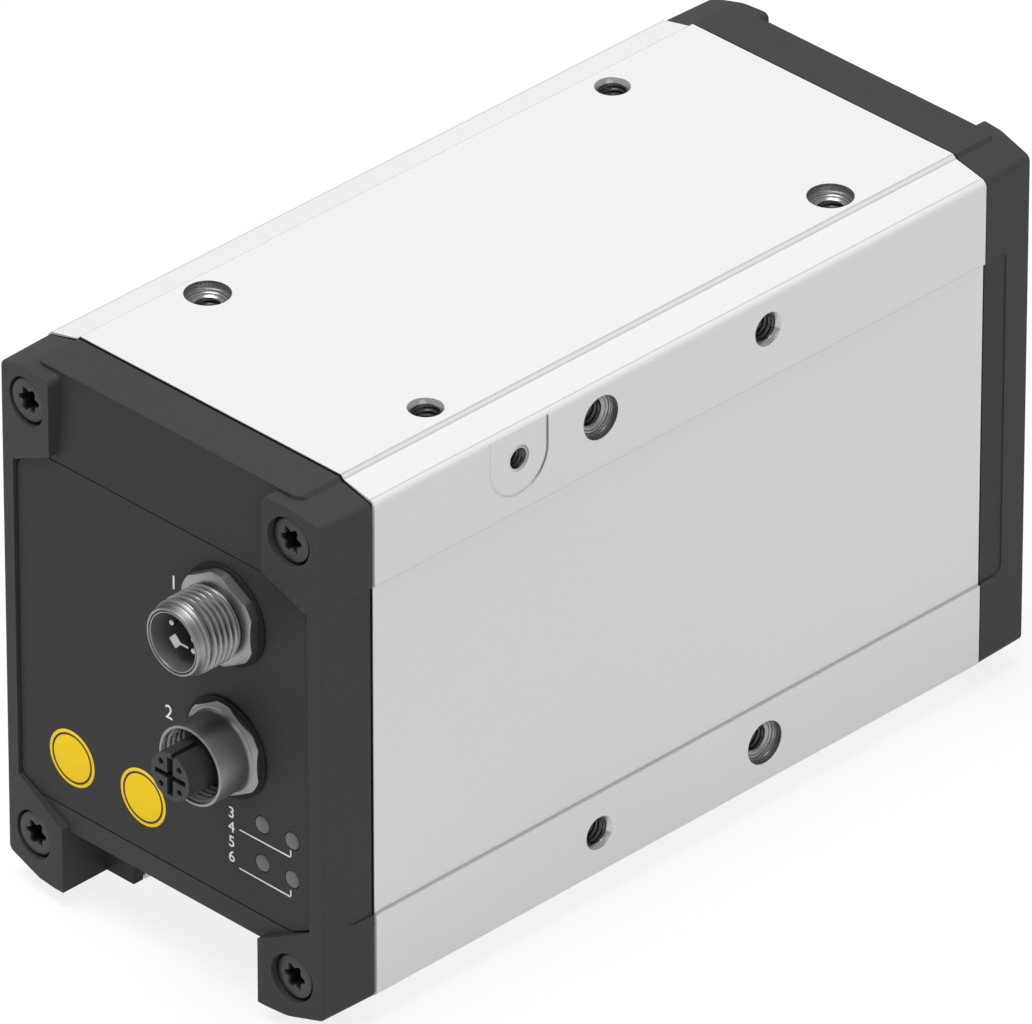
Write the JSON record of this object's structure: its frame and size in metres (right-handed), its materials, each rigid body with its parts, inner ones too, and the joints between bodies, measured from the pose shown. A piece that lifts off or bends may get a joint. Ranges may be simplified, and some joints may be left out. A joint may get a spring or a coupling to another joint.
{
  "type": "electric parallel gripper",
  "caption": "Electric parallel gripper: bright housing with dark end caps, base jaws driven apart by rack and pinion underneath, threaded robot face on top, round connectors at one end.",
  "frame": {"origin": "centre of the raised mounting face on top", "axes": "+Z out of the mounting face towards the robot, Y along the jaw travel with the connectors at -Y, X across"},
  "size_m": [0.066, 0.156, 0.0888],
  "materials": {
    "bearing_steel": "polished",
    "board_green": "solder resist",
    "cap_metal": "black anodised, satin",
    "connector_metal": "nickel plated, satin",
    "contact_brass": "plated",
    "gear_steel": "machined",
    "housing_metal": "fine blasted, natural anodised",
    "insert_plastic": "matt black",
    "jaw_steel": "ground and hardened",
    "light_plastic": "translucent grey",
    "motor_black": "black lacquer",
    "panel_metal": "matt black",
    "plate_aluminium": "milled",
    "post_brass": "turned",
    "rail_steel": "ground",
    "rotor_steel": "plated magnets",
    "screw_steel": "blackened steel",
    "seal_rubber": "matt",
    "stator_iron": "laminations",
    "strip_steel": "stainless sheet"
  },
  "bodies": {
    "base": {"channel_strip": "strip_steel", "com_connector_insert": "insert_plastic", "com_connector_seal": "seal_rubber", "com_connector_shell": "connector_metal", "connector_panel": "panel_metal", "control_board": "board_green", "drive_plate": "plate_aluminium", "front_board_post_left": "post_brass", "front_board_post_right": "post_brass", "front_cap": "cap_metal", "front_cap_screw_1": "screw_steel", "front_cap_screw_2": "screw_steel", "front_cap_screw_3": "screw_steel", "front_cap_screw_4": "screw_steel", "front_gasket": "seal_rubber", "housing": "housing_metal", "interface_board": "board_green", "left_guide_rail": "rail_steel", "lower_bearing_outer": "bearing_steel", "motor_can": "motor_black", "motor_flange": "plate_aluminium", "motor_stator": "stator_iron", "power_connector_contacts": "contact_brass", "power_connector_insert": "insert_plastic", "power_connector_seal": "seal_rubber", "power_connector_shell": "connector_metal", "rear_board_post_left": "post_brass", "rear_board_post_right": "post_brass", "rear_cap": "cap_metal", "rear_cap_screw_1": "screw_steel", "rear_cap_screw_2": "screw_steel", "rear_cap_screw_3": "screw_steel", "rear_cap_screw_4": "screw_steel", "rear_gasket": "seal_rubber", "right_guide_rail": "rail_steel", "status_light_1": "light_plastic", "status_light_2": "light_plastic", "status_light_3": "light_plastic", "status_light_4": "light_plastic", "upper_bearing_outer": "bearing_steel"},
    "front_slide": {"front_jaw": "jaw_steel", "front_rack": "gear_steel"},
    "rear_slide": {"rear_jaw": "jaw_steel", "rear_rack": "gear_steel"},
    "pinion": {"drive_gear": "gear_steel", "lower_bearing_inner": "bearing_steel", "pinion_shaft": "gear_steel", "upper_bearing_inner": "bearing_steel"},
    "rotor": {"motor_pinion": "gear_steel", "motor_rotor": "rotor_steel", "motor_shaft": "gear_steel"}
  },
  "joints": [
    {"name": "front_jaw_travel", "type": "slide", "parent": "base", "child": "front_slide", "axis": [0, -1, 0], "range_m": [0, 0.036]},
    {"name": "rear_jaw_travel", "type": "slide", "parent": "base", "child": "rear_slide", "axis": [0, 1, 0], "range_m": [0, 0.036]},
    {"name": "pinion_turn", "type": "hinge", "parent": "base", "child": "pinion", "pos_m": [0, 0, -0.06], "axis": [0, 0, -1], "range_deg": [0, 258]},
    {"name": "motor_turn", "type": "hinge", "parent": "base", "child": "rotor", "pos_m": [0, 0.024, -0.04], "axis": [0, 0, 1], "range_deg": [0, 774]}
  ],
  "couplings": [
    {"joint": "rear_jaw_travel", "follows": "front_jaw_travel", "ratio": 1},
    {"joint": "pinion_turn", "follows": "front_jaw_travel", "rad_per_m": 125},
    {"joint": "motor_turn", "follows": "front_jaw_travel", "rad_per_m": 375}
  ]
}
